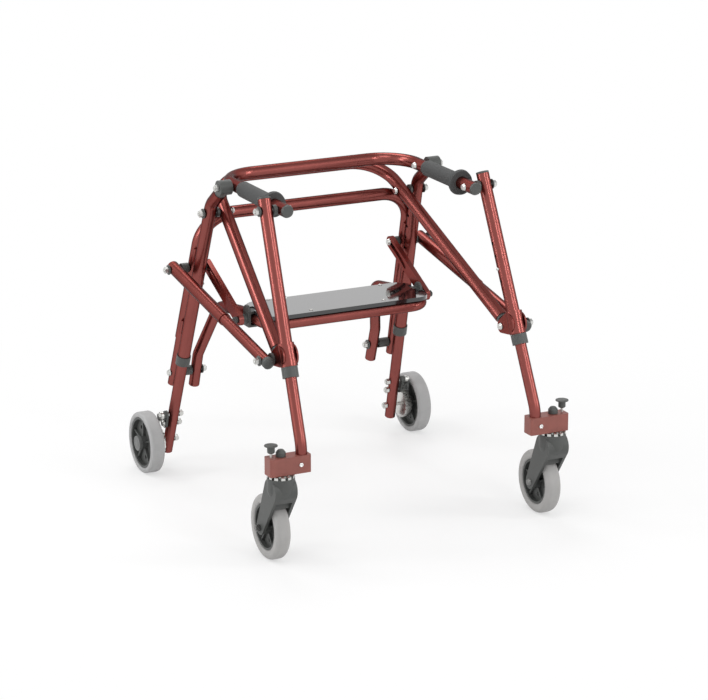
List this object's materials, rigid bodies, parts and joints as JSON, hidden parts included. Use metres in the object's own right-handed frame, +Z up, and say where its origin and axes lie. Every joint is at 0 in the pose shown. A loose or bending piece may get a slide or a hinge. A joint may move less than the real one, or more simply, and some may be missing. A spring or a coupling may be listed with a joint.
{
  "type": "posterior walker",
  "caption": "Folding posterior walker of bent red tubes with hand grips, flip-up seat, swivel casters and one-way rear wheels.",
  "frame": {"origin": "on the floor, in the middle of the bounding box", "axes": "+Z up, the open front with the casters faces -Y, X is left to right"},
  "size_m": [0.657, 0.707, 0.6699],
  "materials": {
    "red_tube": "gloss paint",
    "red_block": "matt paint",
    "steel": "zinc plated",
    "dark_plastic": "moulded",
    "grip": "matt",
    "seat_black": "gloss",
    "front_tyre": "smooth",
    "rear_tyre": "smooth"
  },
  "bodies": {
    "rear_frame": {"rear_leg_left": "red_tube", "rear_leg_right": "red_tube", "seat_hoop": "red_tube", "hoop_extensions": "red_tube", "leg_knuckles": "dark_plastic", "frame_spacers": "dark_plastic", "frame_bolts": "steel"},
    "top_rail": {"top_rail": "red_tube", "hand_grips": "grip", "rail_end_plugs": "dark_plastic", "front_pivot_bolts": "steel"},
    "brace_hoop": {"brace_hoop": "red_tube", "brace_end_fittings": "dark_plastic"},
    "front_legs": {"front_leg_left": "red_tube", "front_leg_right": "red_tube", "front_brackets": "red_tube", "front_leg_trim": "dark_plastic", "bracket_bolts": "steel"},
    "link_rear": {"link_rear_tubes": "red_tube"},
    "link_front": {"link_front_tubes": "red_tube"},
    "seat": {"seat_frame": "red_tube", "seat_panel": "seat_black", "seat_brackets": "dark_plastic"},
    "struts": {"seat_struts": "red_tube"},
    "front_lower_left": {"front_leg_lower_left": "red_tube", "caster_block_left": "red_block", "caster_stem_left": "dark_plastic"},
    "lock_plunger_left": {"lock_plunger_left": "dark_plastic"},
    "caster_fork_left": {"caster_fork_left": "dark_plastic", "caster_steel_left": "steel"},
    "front_wheel_left": {"front_tyre_left": "front_tyre", "front_hub_left": "dark_plastic"},
    "rear_lower_left": {"rear_leg_lower_left": "red_tube", "rear_axle_left": "steel", "pawl_bracket_left": "dark_plastic"},
    "pawl_left": {"pawl_left": "steel"},
    "rear_wheel_left": {"rear_tyre_left": "rear_tyre", "rear_hub_left": "dark_plastic", "ratchet_left": "steel"},
    "link_button_left": {"link_button_left": "steel"},
    "front_button_left": {"front_button_left": "steel"},
    "rear_button_left": {"rear_button_left": "steel"},
    "front_lower_right": {"front_leg_lower_right": "red_tube", "caster_block_right": "red_block", "caster_stem_right": "dark_plastic"},
    "lock_plunger_right": {"lock_plunger_right": "dark_plastic"},
    "caster_fork_right": {"caster_fork_right": "dark_plastic", "caster_steel_right": "steel"},
    "front_wheel_right": {"front_tyre_right": "front_tyre", "front_hub_right": "dark_plastic"},
    "rear_lower_right": {"rear_leg_lower_right": "red_tube", "rear_axle_right": "steel", "pawl_bracket_right": "dark_plastic"},
    "pawl_right": {"pawl_right": "steel"},
    "rear_wheel_right": {"rear_tyre_right": "rear_tyre", "rear_hub_right": "dark_plastic", "ratchet_right": "steel"},
    "link_button_right": {"link_button_right": "steel"},
    "front_button_right": {"front_button_right": "steel"},
    "rear_button_right": {"rear_button_right": "steel"}
  },
  "joints": [
    {"name": "frame_fold", "type": "hinge", "parent": "rear_frame", "child": "top_rail", "pos_m": [0, 0.059, 0.641], "axis": [1, 0, 0], "range_deg": [0, 30]},
    {"name": "front_leg_fold", "type": "hinge", "parent": "top_rail", "child": "front_legs", "pos_m": [0, -0.147, 0.641], "axis": [1, 0, 0], "range_deg": [-16, 0.5]},
    {"name": "brace_fold", "type": "hinge", "parent": "rear_frame", "child": "brace_hoop", "pos_m": [0, 0.12804, 0.575], "axis": [1, 0, 0], "range_deg": [-0.5, 22]},
    {"name": "link_fold", "type": "hinge", "parent": "rear_frame", "child": "link_rear", "pos_m": [0, 0.19489, 0.45], "axis": [1, 0, 0], "range_deg": [-0.5, 20.5]},
    {"name": "link_slide", "type": "slide", "parent": "link_rear", "child": "link_front", "axis": [0, -0.9847, -0.1744], "range_m": [-0.053, 0.001]},
    {"name": "seat_flip", "type": "hinge", "parent": "rear_frame", "child": "seat", "pos_m": [0, 0.27057, 0.211], "axis": [-1, 0, 0], "range_deg": [0, 18]},
    {"name": "strut_swing", "type": "hinge", "parent": "seat", "child": "struts", "pos_m": [0, 0.043, 0.3755], "axis": [-1, 0, 0], "range_deg": [-2, 0.5]},
    {"name": "front_height_left", "type": "slide", "parent": "front_legs", "child": "front_lower_left", "axis": [-0.0353, -0.4054, -0.9135], "range_m": [-0.0508, 0.0508]},
    {"name": "swivel_lock_left", "type": "slide", "parent": "front_lower_left", "child": "lock_plunger_left", "axis": [0, 0, -1], "range_m": [0, 0.006]},
    {"name": "caster_swivel_left", "type": "hinge", "parent": "front_lower_left", "child": "caster_fork_left", "pos_m": [-0.293, -0.327, 0.17], "axis": [0, 0, 1], "continuous": true},
    {"name": "front_wheel_spin_left", "type": "hinge", "parent": "caster_fork_left", "child": "front_wheel_left", "pos_m": [-0.293, -0.28, 0.0635], "axis": [1, 0, 0], "continuous": true},
    {"name": "rear_height_left", "type": "slide", "parent": "rear_frame", "child": "rear_lower_left", "axis": [-0.0509, 0.3015, -0.9521], "range_m": [-0.0508, 0.0508]},
    {"name": "pawl_turn_left", "type": "hinge", "parent": "rear_lower_left", "child": "pawl_left", "pos_m": [-0.25439, 0.27161, 0.12158], "axis": [-1, 0, 0], "range_deg": [0, 3]},
    {"name": "rear_wheel_spin_left", "type": "hinge", "parent": "rear_lower_left", "child": "rear_wheel_left", "pos_m": [-0.307, 0.29, 0.0635], "axis": [1, 0, 0], "continuous": true},
    {"name": "link_button_press_left", "type": "slide", "parent": "link_rear", "child": "link_button_left", "axis": [0, -0.1744, 0.9847], "range_m": [0, 0.0025], "stiffness_N_per_m": 600},
    {"name": "front_button_press_left", "type": "slide", "parent": "front_legs", "child": "front_button_left", "axis": [-1, 0, 0], "range_m": [0, 0.0025], "stiffness_N_per_m": 600},
    {"name": "rear_button_press_left", "type": "slide", "parent": "rear_frame", "child": "rear_button_left", "axis": [-1, 0, 0], "range_m": [0, 0.0025], "stiffness_N_per_m": 600},
    {"name": "front_height_right", "type": "slide", "parent": "front_legs", "child": "front_lower_right", "axis": [0.0353, -0.4054, -0.9135], "range_m": [-0.0508, 0.0508]},
    {"name": "swivel_lock_right", "type": "slide", "parent": "front_lower_right", "child": "lock_plunger_right", "axis": [0, 0, -1], "range_m": [0, 0.006]},
    {"name": "caster_swivel_right", "type": "hinge", "parent": "front_lower_right", "child": "caster_fork_right", "pos_m": [0.293, -0.327, 0.17], "axis": [0, 0, 1], "continuous": true},
    {"name": "front_wheel_spin_right", "type": "hinge", "parent": "caster_fork_right", "child": "front_wheel_right", "pos_m": [0.293, -0.28, 0.0635], "axis": [1, 0, 0], "continuous": true},
    {"name": "rear_height_right", "type": "slide", "parent": "rear_frame", "child": "rear_lower_right", "axis": [0.0509, 0.3015, -0.9521], "range_m": [-0.0508, 0.0508]},
    {"name": "pawl_turn_right", "type": "hinge", "parent": "rear_lower_right", "child": "pawl_right", "pos_m": [0.25439, 0.27161, 0.12158], "axis": [-1, 0, 0], "range_deg": [0, 3]},
    {"name": "rear_wheel_spin_right", "type": "hinge", "parent": "rear_lower_right", "child": "rear_wheel_right", "pos_m": [0.307, 0.29, 0.0635], "axis": [1, 0, 0], "continuous": true},
    {"name": "link_button_press_right", "type": "slide", "parent": "link_rear", "child": "link_button_right", "axis": [0, -0.1744, 0.9847], "range_m": [0, 0.0025], "stiffness_N_per_m": 600},
    {"name": "front_button_press_right", "type": "slide", "parent": "front_legs", "child": "front_button_right", "axis": [1, 0, 0], "range_m": [0, 0.0025], "stiffness_N_per_m": 600},
    {"name": "rear_button_press_right", "type": "slide", "parent": "rear_frame", "child": "rear_button_right", "axis": [1, 0, 0], "range_m": [0, 0.0025], "stiffness_N_per_m": 600}
  ],
  "couplings": [
    {"joint": "front_leg_fold", "follows": "frame_fold", "ratio": -0.518},
    {"joint": "brace_fold", "follows": "frame_fold", "ratio": 0.7005},
    {"joint": "link_fold", "follows": "frame_fold", "ratio": 0.66},
    {"joint": "link_slide", "follows": "frame_fold", "m_per_rad": -0.097},
    {"joint": "strut_swing", "follows": "seat_flip", "ratio": -0.045}
  ]
}
